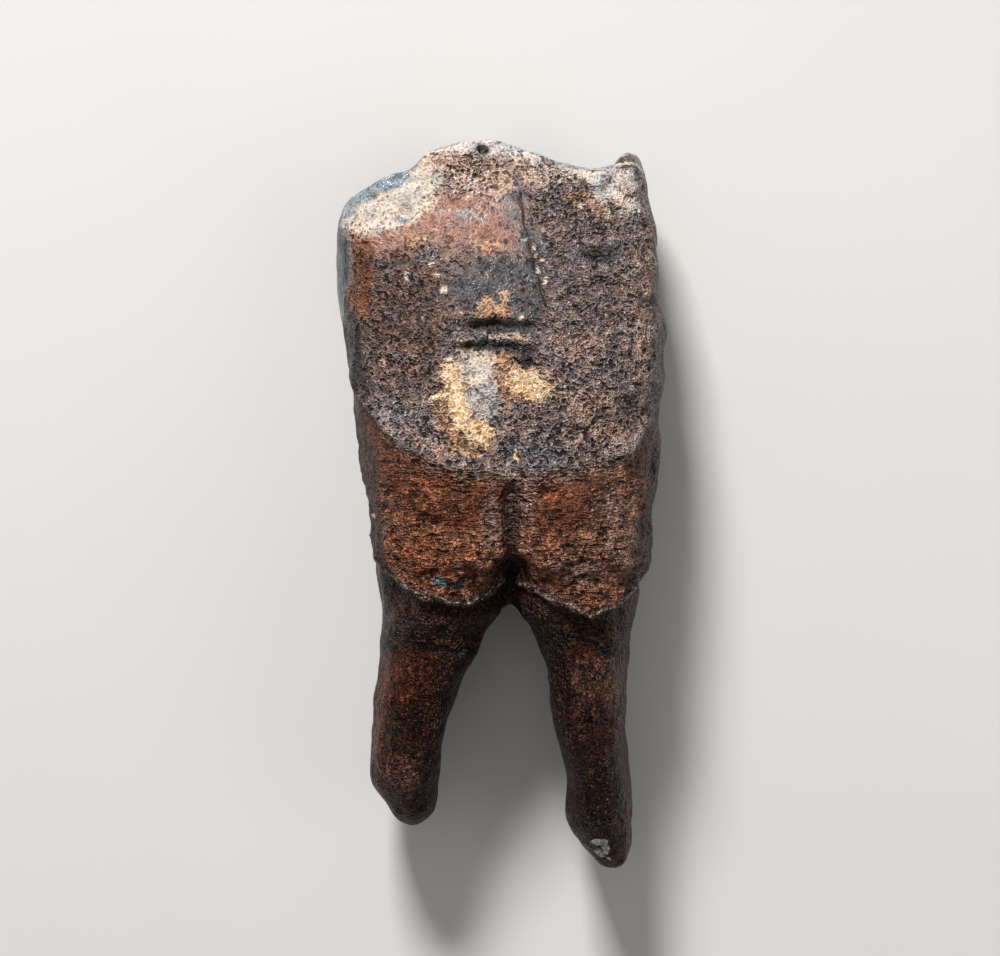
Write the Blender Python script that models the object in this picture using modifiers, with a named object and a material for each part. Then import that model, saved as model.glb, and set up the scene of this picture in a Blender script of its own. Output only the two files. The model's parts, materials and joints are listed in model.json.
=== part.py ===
"""Fossil lower cheek tooth of a woolly rhinoceros, lying on its tongue side.

The tooth grew as one piece, so the model is one solid: a tall two-lobed crown, worn on top and cut
by two valleys on the tongue side, over a front and a back root.

X runs from the front root's side to the back root's side, Y from the root tips to the chewing
surface, and Z from the tongue side, which rests on the ground, up to the cheek side.
Tables and sizes are in millimetres, and turn into metres where a mesh gets its points.
"""

import bmesh
import bpy
import numpy as np
from mathutils import Vector, noise
from mathutils.bvhtree import BVHTree

MM = 0.001
NAME = "tooth"

# Crown: height, then the front end, back end, tongue side and cheek side there
CROWN = (
    (-12.0, -13.0, 15.0, 7.5, 20.5),
    (-9.2, -15.2, 17.4, 1.9, 27.0),
    (-2.0, -16.2, 18.5, -0.1, 28.2),
    (5.5, -17.5, 19.4, -0.4, 28.2),
    (13.0, -18.5, 19.8, -0.4, 27.4),
    (20.0, -19.5, 19.8, -0.3, 26.2),
    (27.0, -19.9, 19.6, 0.1, 24.6),
    (33.0, -20.1, 19.1, 0.6, 23.0),
    (38.0, -19.5, 18.2, 1.3, 21.4),
    (46.0, -18.8, 16.4, 2.6, 19.4),
)
CHEEK_SQUARENESS = 3.3
TONGUE_SQUARENESS = 2.7

# Chewing surface: its height along the tooth, in the photographed outline
WEAR_PROFILE = (
    (-20.0, 37.6),
    (-18.3, 39.0),
    (-15.7, 40.6),
    (-12.6, 42.0),
    (-10.1, 43.4),
    (-7.0, 45.1),
    (-3.2, 45.7),
    (-0.2, 45.2),
    (2.4, 44.2),
    (6.1, 43.1),
    (10.6, 42.0),
    (13.0, 42.4),
    (15.0, 43.6),
    (17.0, 43.6),
)
WEAR_STARTS = 30.0
CHEEK_BEVEL = 0.4
FRONT_BEVEL = 1.2
BACK_BEVEL = 1.3

# Groove between the two lobes on the cheek side: height, place, depth, reach forwards and backwards
CHEEK_GROOVE = (
    (-12.0, 1.3, 3.0, 5.5, 5.0),
    (-9.0, 1.2, 3.6, 5.0, 4.6),
    (-3.0, 0.9, 2.2, 5.0, 4.5),
    (4.0, 1.2, 1.3, 6.0, 5.0),
    (12.0, 3.2, 1.0, 9.0, 6.0),
    (18.0, 4.6, 1.1, 10.0, 5.0),
    (24.0, 5.4, 1.7, 10.0, 2.4),
    (30.0, 4.1, 2.1, 9.0, 2.0),
    (38.0, 2.4, 1.9, 8.0, 2.6),
    (46.0, 0.9, 1.0, 6.0, 4.0),
)
# The same on the tongue side, under the back valley
TONGUE_GROOVE = (
    (-12.0, 1.6, 3.0, 6.0, 6.0),
    (-6.0, 2.6, 2.6, 6.0, 6.0),
    (6.0, 4.0, 1.4, 5.0, 5.0),
    (20.0, 4.6, 0.8, 4.0, 4.0),
    (46.0, 4.6, 0.0, 4.0, 4.0),
)

# Roots: height, then the front face, back face, tongue side and cheek side there, from neck to tip
FRONT_ROOT = (
    (-6.0, -13.6, -1.6, 3.6, 25.0),
    (-10.0, -14.9, 0.2, 1.9, 26.8),
    (-12.8, -14.9, 0.8, 1.9, 26.2),
    (-15.2, -14.8, -0.9, 2.2, 25.0),
    (-18.9, -15.4, -2.6, 2.6, 24.0),
    (-24.6, -16.0, -5.2, 3.2, 22.6),
    (-30.2, -16.4, -6.8, 4.0, 21.2),
    (-35.8, -16.3, -7.6, 5.4, 19.2),
    (-38.4, -15.0, -8.6, 7.0, 17.6),
    (-40.2, -12.8, -10.6, 9.4, 15.0),
)
BACK_ROOT = (
    (-6.0, 4.0, 15.6, 3.6, 25.0),
    (-10.0, 1.4, 17.1, 1.9, 26.9),
    (-12.8, 1.0, 16.6, 1.9, 26.4),
    (-15.2, 2.6, 15.9, 2.2, 25.4),
    (-18.9, 4.4, 15.7, 2.4, 24.6),
    (-26.4, 5.5, 15.7, 2.8, 23.2),
    (-32.1, 6.9, 15.7, 3.6, 21.8),
    (-39.6, 7.7, 16.2, 5.2, 19.6),
    (-43.3, 10.3, 16.0, 7.2, 17.4),
    (-45.6, 12.4, 15.0, 10.0, 14.6),
)
ROOT_SQUARENESS = 2.5
ROOT_FURROW = 1.5
ROOT_FURROW_WIDTH = 4.5

# Valleys on the tongue side: (x, z) of the axis and the two half-widths, at the top and at the floor
FRONT_VALLEY = {"top": (-12.0, 2.6, 3.6, 8.2), "floor": (-11.0, -0.5, 1.3, 2.0), "floor_height": 21.0}
BACK_VALLEY = {"top": (4.5, 3.2, 4.4, 11.4), "floor": (4.8, -0.5, 1.7, 2.8), "floor_height": 9.0}
VALLEY_TOP = 50.0

# Enamel edge: angle round the crown from the back face, over the cheek, and the edge's height there
ENAMEL_EDGE = (
    (0, -7.4),
    (20, -9.6),
    (34, -12.2),
    (49, -13.8),
    (63, -12.4),
    (74, -10.8),
    (88, -9.2),
    (93, -9.3),
    (104, -11.0),
    (114, -12.6),
    (126, -12.0),
    (133, -11.2),
    (145, -9.7),
    (158, -7.0),
    (180, -3.6),
    (205, -7.6),
    (230, -12.4),
    (250, -11.6),
    (270, -8.0),
    (290, -11.8),
    (308, -13.0),
    (335, -10.4),
)
ENAMEL_STEP = 0.6
ENAMEL_STEP_FADES = 5.0
ENAMEL_LIP = 0.5

# Edge of the cement coat higher up, on the same angles
CEMENT_EDGE = (
    (0, 15.5),
    (20, 13.0),
    (33, 8.5),
    (41, 6.0),
    (56, 4.7),
    (72, 4.0),
    (86, 3.2),
    (94, 3.6),
    (104, 4.4),
    (117, 4.6),
    (130, 6.2),
    (140, 8.6),
    (152, 12.0),
    (165, 15.6),
    (180, 18.0),
    (210, 10.0),
    (240, 5.0),
    (270, 7.5),
    (300, 5.0),
    (330, 9.5),
)
CEMENT_STEP = 0.25
CEMENT_STEP_FADES = 9.0
CEMENT_LIP = 0.35

# Small forms: (x, y, reach along x, reach along y, height), on the cheek side
CHEEK_FORMS = (
    (1.0, 21.3, 5.0, 0.8, -0.7),
    (0.2, 19.2, 4.4, 0.7, -0.6),
    (-1.2, 20.3, 4.0, 0.6, 0.3),
    (1.3, -8.6, 1.3, 1.9, -1.5),
    (4.6, 0.4, 1.4, 1.1, -0.5),
    (-7.2, -9.3, 1.5, 0.8, 0.4),
    (-8.6, -16.9, 5.5, 1.3, -0.7),
    (11.0, -18.0, 5.5, 1.3, -0.6),
    (-7.4, -14.0, 3.8, 1.2, 0.5),
    (-2.2, 43.6, 0.8, 0.8, -0.5),
)
# Contact facet on the front face and knob on the back face: height, depth across, reaches, size
FACET = {"y": 29.8, "z": 13.5, "reach_y": 6.2, "reach_z": 5.2, "rise": 0.9}
KNOB = {"y": 21.6, "z": 17.0, "reach_y": 2.0, "reach_z": 4.0, "rise": 0.7}
BROKEN_TIP = {"x": -15.9, "y": -38.6, "reach": 2.4, "depth": 1.1}

# Worn top: the enamel stands as a rim round softer dentine
RIM_WIDTH = 1.7
DENTINE_DEPTH = 1.5

LUMP_SIZE = 6.5
LUMP_HEIGHT = 0.55
RIPPLE_SIZE = 2.6
RIPPLE_HEIGHT = 0.22

RING_POINTS = 96
CROWN_RINGS = 44
TOP_RINGS = (0.97, 0.9, 0.8, 0.66, 0.5, 0.34, 0.18, 0.06)
ROOT_RINGS = 26
SKIN_CELL = 0.55
SKIN_SMOOTHING = 9
TRIANGLES = 9400
GROUND_DEPTH = 20.0


def clear_scene():
    """Removes every object from the scene."""
    for obj in list(bpy.data.objects):
        bpy.data.objects.remove(obj, do_unlink=True)


def between(stations, at):
    """Columns of the table on smooth curves through its stations, one row for each value of at."""
    table = np.array(sorted(stations), float)
    place, values = table[:, 0], table[:, 1:]
    at = np.clip(at, place[0], place[-1])
    slope = np.gradient(values, place, axis=0)
    low = np.clip(np.searchsorted(place, at, side="right") - 1, 0, len(place) - 2)
    span = (place[low + 1] - place[low])[:, None]
    u = ((at - place[low]) / span[:, 0])[:, None]
    return (
        (2 * u**3 - 3 * u**2 + 1) * values[low]
        + (u**3 - 2 * u**2 + u) * span * slope[low]
        + (3 * u**2 - 2 * u**3) * values[low + 1]
        + (u**3 - u**2) * span * slope[low + 1]
    )


def around(edge, angle):
    """Height of a closed edge at angles in degrees, repeated past a full turn so that it joins."""
    turns = [(a + turn, h) for turn in (-360, 0, 360) for a, h in edge]
    return between(turns, angle)[:, 0]


def step(low, high, value):
    """Smooth rise from 0 at low to 1 at high."""
    u = np.clip((value - low) / (high - low), 0, 1)
    return u * u * (3 - 2 * u)


def rounded_box(turn, squareness):
    """Points of a superellipse of half-width 1 at these angles, in radians."""
    power = 2 / squareness
    cosine, sine = np.cos(turn), np.sin(turn)
    return np.sign(cosine) * abs(cosine) ** power, np.sign(sine) * abs(sine) ** power


def groove(table, x, y):
    """Depth at x of the groove in the table: deepest in its line, with a lobe swelling on each side."""
    place, depth, forwards, backwards = between(table, y).T
    reach = np.where(x < place, forwards, backwards)
    return depth * np.clip(1 - abs(x - place) / reach, 0, 1) ** 2


def chewing_height(x, z, cheek):
    """Height of the worn top at a point, where cheek is the crown's cheek side."""
    height = between(WEAR_PROFILE, x)[:, 0]
    bevel = CHEEK_BEVEL + FRONT_BEVEL * step(-7.0, -12.0, x) + BACK_BEVEL * step(8.0, 14.0, x)
    return height - bevel * step(2.8, 0.0, cheek - z)


def crown_ring(height, share=1.0):
    """The crown's outline at a height as points, shrunk to a share of its size on the top's rings."""
    turn = np.linspace(0, 2 * np.pi, RING_POINTS, endpoint=False)
    out_x, out_z = rounded_box(turn, np.where(np.sin(turn) > 0, CHEEK_SQUARENESS, TONGUE_SQUARENESS))
    y = np.full(RING_POINTS, float(height))
    reach = (height - WEAR_STARTS) / (VALLEY_TOP - WEAR_STARTS)
    for _ in range(4):
        front, back, tongue, cheek = between(CROWN, y).T
        x = (front + back) / 2 + out_x * (back - front) / 2
        z = (tongue + cheek) / 2 + out_z * (cheek - tongue) / 2
        cut = groove(CHEEK_GROOVE, x, y)
        z = z - np.where(out_z > 0, cut * out_z, 0)
        z = z - np.where(out_z < 0, groove(TONGUE_GROOVE, x, y) * out_z, 0)
        if reach > 0:
            y = WEAR_STARTS + reach * (chewing_height(x, z, cheek) - WEAR_STARTS)
    centre = np.array((x.mean(), z.mean()))
    x = centre[0] + (x - centre[0]) * share
    z = centre[1] + (z - centre[1]) * share
    if share < 1:
        y = chewing_height(x, z, cheek)
    return np.column_stack((x, y, z))


def root_ring(stations, height, inner_side):
    """A root's outline at a height, with the furrow down its inner face, on side -1 or 1."""
    turn = np.linspace(0, 2 * np.pi, RING_POINTS, endpoint=False)
    out_x, out_z = rounded_box(turn, ROOT_SQUARENESS)
    front, back, tongue, cheek = between(stations, np.array([height]))[0]
    x = (front + back) / 2 + out_x * (back - front) / 2
    z = (tongue + cheek) / 2 + out_z * (cheek - tongue) / 2
    tip, neck = min(stations)[0], max(stations)[0]
    fade = step(tip, tip + 12, height) * step(neck, neck - 8, height)
    furrow = ROOT_FURROW * fade * np.exp(-(((z - (tongue + cheek) / 2) / ROOT_FURROW_WIDTH) ** 2))
    x = x - inner_side * furrow * step(0.2, 0.9, out_x * inner_side)
    return np.column_stack((x, np.full(RING_POINTS, height), z))


def loft(name, rings):
    """A closed mesh object bridged through the rings, in order, with both ends filled."""
    bm = bmesh.new()
    edges = []
    for ring in rings:
        verts = bmesh.ops.create_circle(bm, segments=RING_POINTS, radius=MM)["verts"]
        for vert, point in zip(verts, ring):
            vert.co = Vector(point) * MM
        edges.append(list({edge for vert in verts for edge in vert.link_edges}))
    for lower, upper in zip(edges, edges[1:]):
        bmesh.ops.bridge_loops(bm, edges=lower + upper)
    bmesh.ops.holes_fill(bm, edges=[edge for edge in bm.edges if edge.is_boundary], sides=0)
    bmesh.ops.recalc_face_normals(bm, faces=bm.faces)
    return object_of(name, bm)


def object_of(name, bm):
    """An object that holds the bmesh, linked to the scene."""
    mesh = bpy.data.meshes.new(name)
    bm.to_mesh(mesh)
    bm.free()
    obj = bpy.data.objects.new(name, mesh)
    bpy.context.scene.collection.objects.link(obj)
    return obj


def make_crown():
    """The crown with its worn top, before the valleys are cut."""
    heights = np.linspace(CROWN[0][0], VALLEY_TOP, CROWN_RINGS)
    rings = [crown_ring(height) for height in heights]
    rings += [crown_ring(VALLEY_TOP, share) for share in TOP_RINGS]
    return loft("crown", rings)


def make_root(name, stations, inner_side):
    """One root, whose neck lies inside the crown."""
    heights = np.linspace(max(stations)[0], min(stations)[0], ROOT_RINGS)
    return loft(name, [root_ring(stations, height, inner_side) for height in heights])


def make_valley(name, valley):
    """The cutter of one valley: an elliptical wedge from above the crown down to the valley's floor."""
    height = VALLEY_TOP - valley["floor_height"]
    bm = bmesh.new()
    bmesh.ops.create_cone(bm, cap_ends=True, segments=48, radius1=1, radius2=1, depth=1)
    for vert in bm.verts:
        x, z, half_x, half_z = valley["top"] if vert.co.z > 0 else valley["floor"]
        y = VALLEY_TOP if vert.co.z > 0 else VALLEY_TOP - height
        vert.co = Vector((x + vert.co.x * half_x, y, z + vert.co.y * half_z)) * MM
    bmesh.ops.recalc_face_normals(bm, faces=bm.faces)
    cutter = object_of(name, bm)
    hide_cutter(cutter)
    return cutter


def hide_cutter(cutter):
    """Marks an object as a tool that only shapes another."""
    cutter.hide_render = True
    cutter.display_type = "WIRE"


def combine(obj, other, operation):
    """Adds a Boolean with the other object."""
    modifier = obj.modifiers.new(f"{operation.lower()}_{other.name}", "BOOLEAN")
    modifier.operation = operation
    modifier.solver = "EXACT"
    modifier.object = other


def bake(obj):
    """Replaces the object's mesh with what its modifiers make of it."""
    graph = bpy.context.evaluated_depsgraph_get()
    graph.update()
    mesh = bpy.data.meshes.new_from_object(obj.evaluated_get(graph))
    obj.modifiers.clear()
    obj.data = mesh


def join_body():
    """The plain body: the crown with both roots joined on and both valleys cut, under one even skin."""
    body = make_crown()
    roots = [make_root("front_root", FRONT_ROOT, 1), make_root("back_root", BACK_ROOT, -1)]
    valleys = [make_valley("front_valley", FRONT_VALLEY), make_valley("back_valley", BACK_VALLEY)]
    for root in roots:
        combine(body, root, "UNION")
    for valley in valleys:
        combine(body, valley, "DIFFERENCE")
    bake(body)
    for used in roots + valleys:
        bpy.data.objects.remove(used, do_unlink=True)
    skin(body, SKIN_SMOOTHING)
    return body


def skin(obj, smoothing):
    """Covers the object in even cells and softens them."""
    cells = obj.modifiers.new("cells", "REMESH")
    cells.mode = "VOXEL"
    cells.voxel_size = SKIN_CELL * MM
    soften = obj.modifiers.new("soften", "SMOOTH")
    soften.factor = 0.5
    soften.iterations = smoothing
    bake(obj)


def points_and_normals(mesh):
    """The mesh's points in millimetres, and its unit normals."""
    count = len(mesh.vertices)
    points, normals = np.empty(count * 3), np.empty(count * 3)
    mesh.vertices.foreach_get("co", points)
    mesh.vertices.foreach_get("normal", normals)
    return points.reshape(-1, 3) / MM, normals.reshape(-1, 3)


def push(obj, amount):
    """Moves each point out along its normal by the amount, in millimetres."""
    points, normals = points_and_normals(obj.data)
    moved = (points + normals * amount[:, None]) * MM
    obj.data.vertices.foreach_set("co", moved.ravel())
    obj.data.update()


def distance_to_walls(obj):
    """Distance in millimetres from each point of the worn top to the nearest upright wall."""
    points, normals = points_and_normals(obj.data)
    walls = [face.vertices[:] for face in obj.data.polygons if face.normal.y < 0.35]
    tree = BVHTree.FromPolygons([v.co for v in obj.data.vertices], walls)
    distance = np.zeros(len(points))
    for i in np.flatnonzero((points[:, 1] > WEAR_STARTS) & (normals[:, 1] > 0.35)):
        distance[i] = tree.find_nearest(obj.data.vertices[i].co)[3] / MM
    return distance


def edge_relief(height_above, depth, fades, lip):
    """Height of the surface near an edge: a lip on it, and a step down below it that fades out."""
    below = step(0.5, -0.5, height_above) * step(-fades, -0.5, height_above)
    return lip * np.exp(-((height_above / 0.8) ** 2)) - depth * below


def wall_relief(points, normals):
    """The enamel's and the cement's edges round the crown."""
    x, y, z = points.T
    front, back, tongue, cheek = between(CROWN, y).T
    angle = np.degrees(np.arctan2(z - (tongue + cheek) / 2, x - (front + back) / 2)) % 360
    upright = step(0.6, 0.3, abs(normals[:, 1]))
    enamel = edge_relief(y - around(ENAMEL_EDGE, angle), ENAMEL_STEP, ENAMEL_STEP_FADES, ENAMEL_LIP)
    cement = edge_relief(y - around(CEMENT_EDGE, angle), CEMENT_STEP, CEMENT_STEP_FADES, CEMENT_LIP)
    in_fork = step(-9.0, -12.0, y) * step(6.0, 3.0, abs(x - 1.4))
    return upright * (enamel * (1 - in_fork) + cement)


def small_forms(points, normals):
    """Dents, pits and swellings of the cheek side, and the facet and knob on the end faces."""
    x, y, z = points.T
    amount = np.zeros(len(points))
    on_cheek = step(0.1, 0.6, normals[:, 2])
    for at_x, at_y, reach_x, reach_y, height in CHEEK_FORMS:
        amount += on_cheek * height * np.exp(-(((x - at_x) / reach_x) ** 2) - ((y - at_y) / reach_y) ** 2)
    for form, side in ((FACET, -1), (KNOB, 1)):
        on_side = step(0.2, 0.6, normals[:, 0] * side)
        share = ((y - form["y"]) / form["reach_y"]) ** 2 + ((z - form["z"]) / form["reach_z"]) ** 2
        amount += on_side * form["rise"] * np.exp(-(share**1.5))
    tip = np.hypot(x - BROKEN_TIP["x"], y - BROKEN_TIP["y"])
    return amount - BROKEN_TIP["depth"] * np.exp(-((tip / BROKEN_TIP["reach"]) ** 2))


def lumps(points, size, height):
    """Rounded unevenness of a size and height."""
    return np.array([noise.fractal(Vector(point) / size, 1.0, 2.0, 2) for point in points]) * height


def carve(body):
    """Works the relief into the plain body."""
    points, normals = points_and_normals(body.data)
    top = distance_to_walls(body)
    dentine = step(RIM_WIDTH * 0.6, RIM_WIDTH * 1.5, top)
    relief = wall_relief(points, normals) + small_forms(points, normals)
    relief += lumps(points, LUMP_SIZE, LUMP_HEIGHT) + lumps(points, RIPPLE_SIZE, RIPPLE_HEIGHT)
    push(body, relief - DENTINE_DEPTH * dentine)


def thin_out(body):
    """Keeps the faces that the shape needs, down to the number of triangles."""
    thin = body.modifiers.new("thin_out", "DECIMATE")
    triangles = sum(len(face.vertices) - 2 for face in body.data.polygons)
    thin.ratio = TRIANGLES / triangles
    thin.use_collapse_triangulate = True
    bake(body)


def settle(body):
    """Cuts the flat that the tooth rests on, and puts the origin under the middle of the tooth."""
    cutter = object_of("ground_cutter", bmesh.new())
    bm = bmesh.new()
    bmesh.ops.create_cube(bm, size=200 * MM)
    bmesh.ops.translate(bm, verts=bm.verts, vec=(0, 0, -100 * MM))
    bm.to_mesh(cutter.data)
    bm.free()
    combine(body, cutter, "DIFFERENCE")
    bake(body)
    bpy.data.objects.remove(cutter, do_unlink=True)
    points, _ = points_and_normals(body.data)
    middle = (points.min(axis=0) + points.max(axis=0)) / 2
    body.data.vertices.foreach_set("co", ((points - (middle[0], middle[1], 0)) * MM).ravel())
    body.data.update()


def fossil_material():
    """Dark brown stained enamel and cement."""
    material = bpy.data.materials.new("stained_fossil_enamel")
    material.use_nodes = True
    shader = material.node_tree.nodes["Principled BSDF"]
    shader.inputs["Base Color"].default_value = (0.090, 0.052, 0.036, 1)
    shader.inputs["Roughness"].default_value = 0.55
    shader.inputs["Metallic"].default_value = 0.0
    return material


def main():
    """Builds the tooth in a collection of its own."""
    clear_scene()
    body = join_body()
    carve(body)
    thin_out(body)
    settle(body)
    body.name = NAME
    body.data.name = NAME
    body.data.materials.append(fossil_material())
    body.data.shade_smooth()
    collection = bpy.data.collections.new("fossil_rhinoceros_tooth")
    bpy.context.scene.collection.children.link(collection)
    bpy.context.scene.collection.objects.unlink(body)
    collection.objects.link(body)


main()
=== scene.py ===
"""Looks of a fossil woolly rhinoceros tooth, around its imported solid.

The tooth grew as one piece, so one mesh stands for it. It takes the solid's form under an even
skin, is carved with the relief of enamel, cement and root, and is dressed in one layered material.

Lengths are in millimetres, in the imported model's frame: X runs from the front root's side to the
back root's, Y from the root tips to the chewing surface, Z from the tongue side, on the floor, up
to the cheek side. They turn into metres where a mesh, a light or a texture takes them.
"""

from __future__ import annotations

import json
import logging
import math
from collections.abc import Sequence
from dataclasses import dataclass
from enum import Enum

import bmesh
import bpy
import numpy as np
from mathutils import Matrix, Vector, noise
from mathutils.bvhtree import BVHTree

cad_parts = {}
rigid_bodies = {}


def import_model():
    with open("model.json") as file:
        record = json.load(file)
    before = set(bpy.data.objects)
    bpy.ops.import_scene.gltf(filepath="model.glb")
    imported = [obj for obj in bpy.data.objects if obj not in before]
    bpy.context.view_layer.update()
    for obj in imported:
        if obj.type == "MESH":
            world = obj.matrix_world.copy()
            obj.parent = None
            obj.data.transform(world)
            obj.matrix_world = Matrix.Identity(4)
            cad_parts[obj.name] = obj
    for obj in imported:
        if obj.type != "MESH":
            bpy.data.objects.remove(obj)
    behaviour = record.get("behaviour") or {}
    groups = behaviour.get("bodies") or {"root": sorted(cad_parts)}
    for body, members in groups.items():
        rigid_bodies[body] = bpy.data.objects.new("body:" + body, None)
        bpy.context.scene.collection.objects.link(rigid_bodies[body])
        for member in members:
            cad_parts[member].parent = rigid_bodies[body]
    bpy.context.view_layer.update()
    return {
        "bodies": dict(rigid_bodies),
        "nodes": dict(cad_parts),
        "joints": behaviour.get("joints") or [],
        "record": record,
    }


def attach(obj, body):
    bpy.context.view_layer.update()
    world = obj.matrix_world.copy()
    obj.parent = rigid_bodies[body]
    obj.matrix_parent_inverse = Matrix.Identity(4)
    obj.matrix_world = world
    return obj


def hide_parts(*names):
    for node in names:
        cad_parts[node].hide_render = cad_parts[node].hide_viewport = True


LOG = logging.getLogger("tooth")
MM = 0.001
SMOOTH = {"interpolation_type": "SMOOTHSTEP"}
Numbers = np.ndarray
Socket = bpy.types.NodeSocket


def linear(colour: str) -> tuple[float, float, float, float]:
    """Turns an sRGB hex colour to the linear colour that a shader takes.

    Args:
        colour: The colour as six hex digits after a hash.

    Returns:
        Red, green, blue and an alpha of 1.
    """
    parts = [int(colour[i : i + 2], 16) / 255 for i in (1, 3, 5)]
    turned = [part / 12.92 if part <= 0.04045 else ((part + 0.055) / 1.055) ** 2.4 for part in parts]
    return (*turned, 1.0)


def step(low: float | Numbers, high: float | Numbers, value: Numbers) -> Numbers:
    """Rises smoothly from 0 at low to 1 at high.

    Args:
        low: Where the rise starts.
        high: Where it ends, which may lie below low.
        value: The numbers to read it at.

    Returns:
        Shares from 0 to 1.
    """
    share = np.clip((value - low) / (high - low), 0, 1)
    return share * share * (3 - 2 * share)


def bell(distance: Numbers, reach: float) -> Numbers:
    """Falls from 1 at no distance to about a third at the reach."""
    return np.exp(-((distance / reach) ** 2))


def add_node(
    tree: bpy.types.NodeTree, kind: str, inputs: dict | None = None, output: str | int = 0, **settings: object
) -> Socket:
    """Adds a node with its settings, values and links.

    Args:
        tree: The node tree that it joins.
        kind: Blender's name for the kind of node, after the part that all of them share.
        inputs: A value, or the socket that feeds it, by input name or number.
        output: Which of its outputs is wanted.
        settings: The node's own properties.

    Returns:
        The wanted output.
    """
    node = tree.nodes.new(f"ShaderNode{kind}")
    for name, value in settings.items():
        setattr(node, name, value)
    for name, value in (inputs or {}).items():
        if isinstance(value, Socket):
            tree.links.new(value, node.inputs[name])
        else:
            node.inputs[name].default_value = value
    return node.outputs[output]


class Growth(Enum):
    """How the relief of a surface runs, by the stretch of its noise along X, Y and Z."""

    EVEN = (1.0, 1.0, 1.0)
    RINGS = (2.7, 1.0, 2.7)
    FIBRES = (1.0, 7.0, 1.0)


@dataclass(frozen=True)
class Surface:
    """The points of a skin.

    Attributes:
        points: Their places, in millimetres.
        normals: Their normals.
    """

    points: Numbers
    normals: Numbers

    @classmethod
    def of(cls, mesh: bpy.types.Mesh) -> Surface:
        """Reads the points and normals of a mesh.

        Args:
            mesh: The mesh, in metres.

        Returns:
            Its surface.
        """
        count = len(mesh.vertices)
        points, normals = np.empty(count * 3), np.empty(count * 3)
        mesh.vertices.foreach_get("co", points)
        mesh.vertices.foreach_get("normal", normals)
        return cls(points.reshape(-1, 3) / MM, normals.reshape(-1, 3))

    def rough(
        self, size: float, octaves: int = 3, growth: Growth = Growth.EVEN, shift: float = 0.0
    ) -> Numbers:
        """Uneven heights over the surface.

        Args:
            size: Size of the broadest forms, in millimetres.
            octaves: How many times the forms are halved and added.
            growth: Which way the forms run.
            shift: A shift that gives another draw of the same kind.

        Returns:
            Heights of about -1 to 1, one for each point.
        """
        places = (self.points + shift) / (size * np.array(growth.value))
        return np.array([noise.fractal(Vector(place), 1.0, 2.0, octaves) for place in places])

    def grains(self, size: float) -> Numbers:
        """Distance from each point to the nearest of scattered grains, as a share of their size."""
        return np.array([noise.voronoi(Vector(place))[0][0] for place in self.points / size])


@dataclass(frozen=True)
class Edge:
    """An edge that runs round the crown: its height by angle, from the back face over the cheek.

    Attributes:
        heights: Angle in degrees and height in millimetres, in order.
        middle: X and Z of the axis that the angle turns about.
    """

    heights: tuple[tuple[float, float], ...]
    middle: tuple[float, float]

    def above(self, surface: Surface) -> Numbers:
        """Works out how far each point lies above the edge.

        Args:
            surface: The points.

        Returns:
            Heights above it in millimetres, below 0 under it.
        """
        x, y, z = surface.points.T
        angle = np.degrees(np.arctan2(z - self.middle[1], x - self.middle[0])) % 360
        places, heights = zip(*self.heights)
        turn = np.arange(360)
        table = np.interp(turn, places, heights, period=360)
        soften = np.hanning(11) / np.hanning(11).sum()
        table = np.convolve(np.concatenate((table[-5:], table, table[:5])), soften, "valid")
        return y - np.interp(angle, turn, table, period=360)


@dataclass(frozen=True)
class Patch:
    """An oval on the cheek side, which a stain or a dent fills.

    Attributes:
        x: X of its middle.
        y: Height of its middle.
        reach_x: Half its width.
        reach_y: Half its height.
        strength: How much of it there is at the middle.
        turn: Its turn about the middle, in degrees.
    """

    x: float
    y: float
    reach_x: float
    reach_y: float
    strength: float = 1.0
    turn: float = 0.0

    def share(self, x: Numbers, y: Numbers) -> Numbers:
        """Works out how much of the patch a place has.

        Args:
            x: X of the places.
            y: Their heights.

        Returns:
            The strength at the middle, half of that on the oval, and nothing far outside.
        """
        turn = math.radians(self.turn)
        along = (x - self.x) * math.cos(turn) + (y - self.y) * math.sin(turn)
        across = (y - self.y) * math.cos(turn) - (x - self.x) * math.sin(turn)
        away = (along / self.reach_x) ** 2 + (across / self.reach_y) ** 2
        return self.strength * np.exp(-math.log(2) * away)


def ovals(*rows: tuple[float, ...]) -> tuple[Patch, ...]:
    """Patches from rows of numbers, each in the order of a patch's fields."""
    return tuple(Patch(*row) for row in rows)


@dataclass(frozen=True)
class Seam:
    """A thin line on the skin.

    Attributes:
        along: Name of the distance that the mesh holds, in millimetres.
        at: The distance at which the line runs.
        wide: Its width.
    """

    along: str
    at: float
    wide: float


@dataclass(frozen=True)
class Stain:
    """A finish that part of the tooth took on in the ground, or painted shade or highlight where its comment
    says so.

    Attributes:
        name: What it is, which names its share in the mesh.
        hollow: Colour between the grains, darker partly as painted shade.
        crest: Colour on the grains, paler partly as painted highlight.
        roughness: Roughness of the surface there.
        ragged: How far the grain moves the stain's border, as a share of its strength.
        soft: How wide the border is, as a share of its strength.
        patches: Ovals on the cheek side, for a stain that has them.
        seam: The line it keeps to, for one that runs along a line.
        rise: How far it stands above the fine relief, as a share of that.
        smooth: How far it wears the fine relief away, 0 to 1.
    """

    name: str
    hollow: str
    crest: str
    roughness: float = 0.55
    ragged: float = 0.6
    soft: float = 0.28
    patches: tuple[Patch, ...] = ()
    seam: Seam | None = None
    rise: float = 0.0
    smooth: float = 0.0
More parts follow.
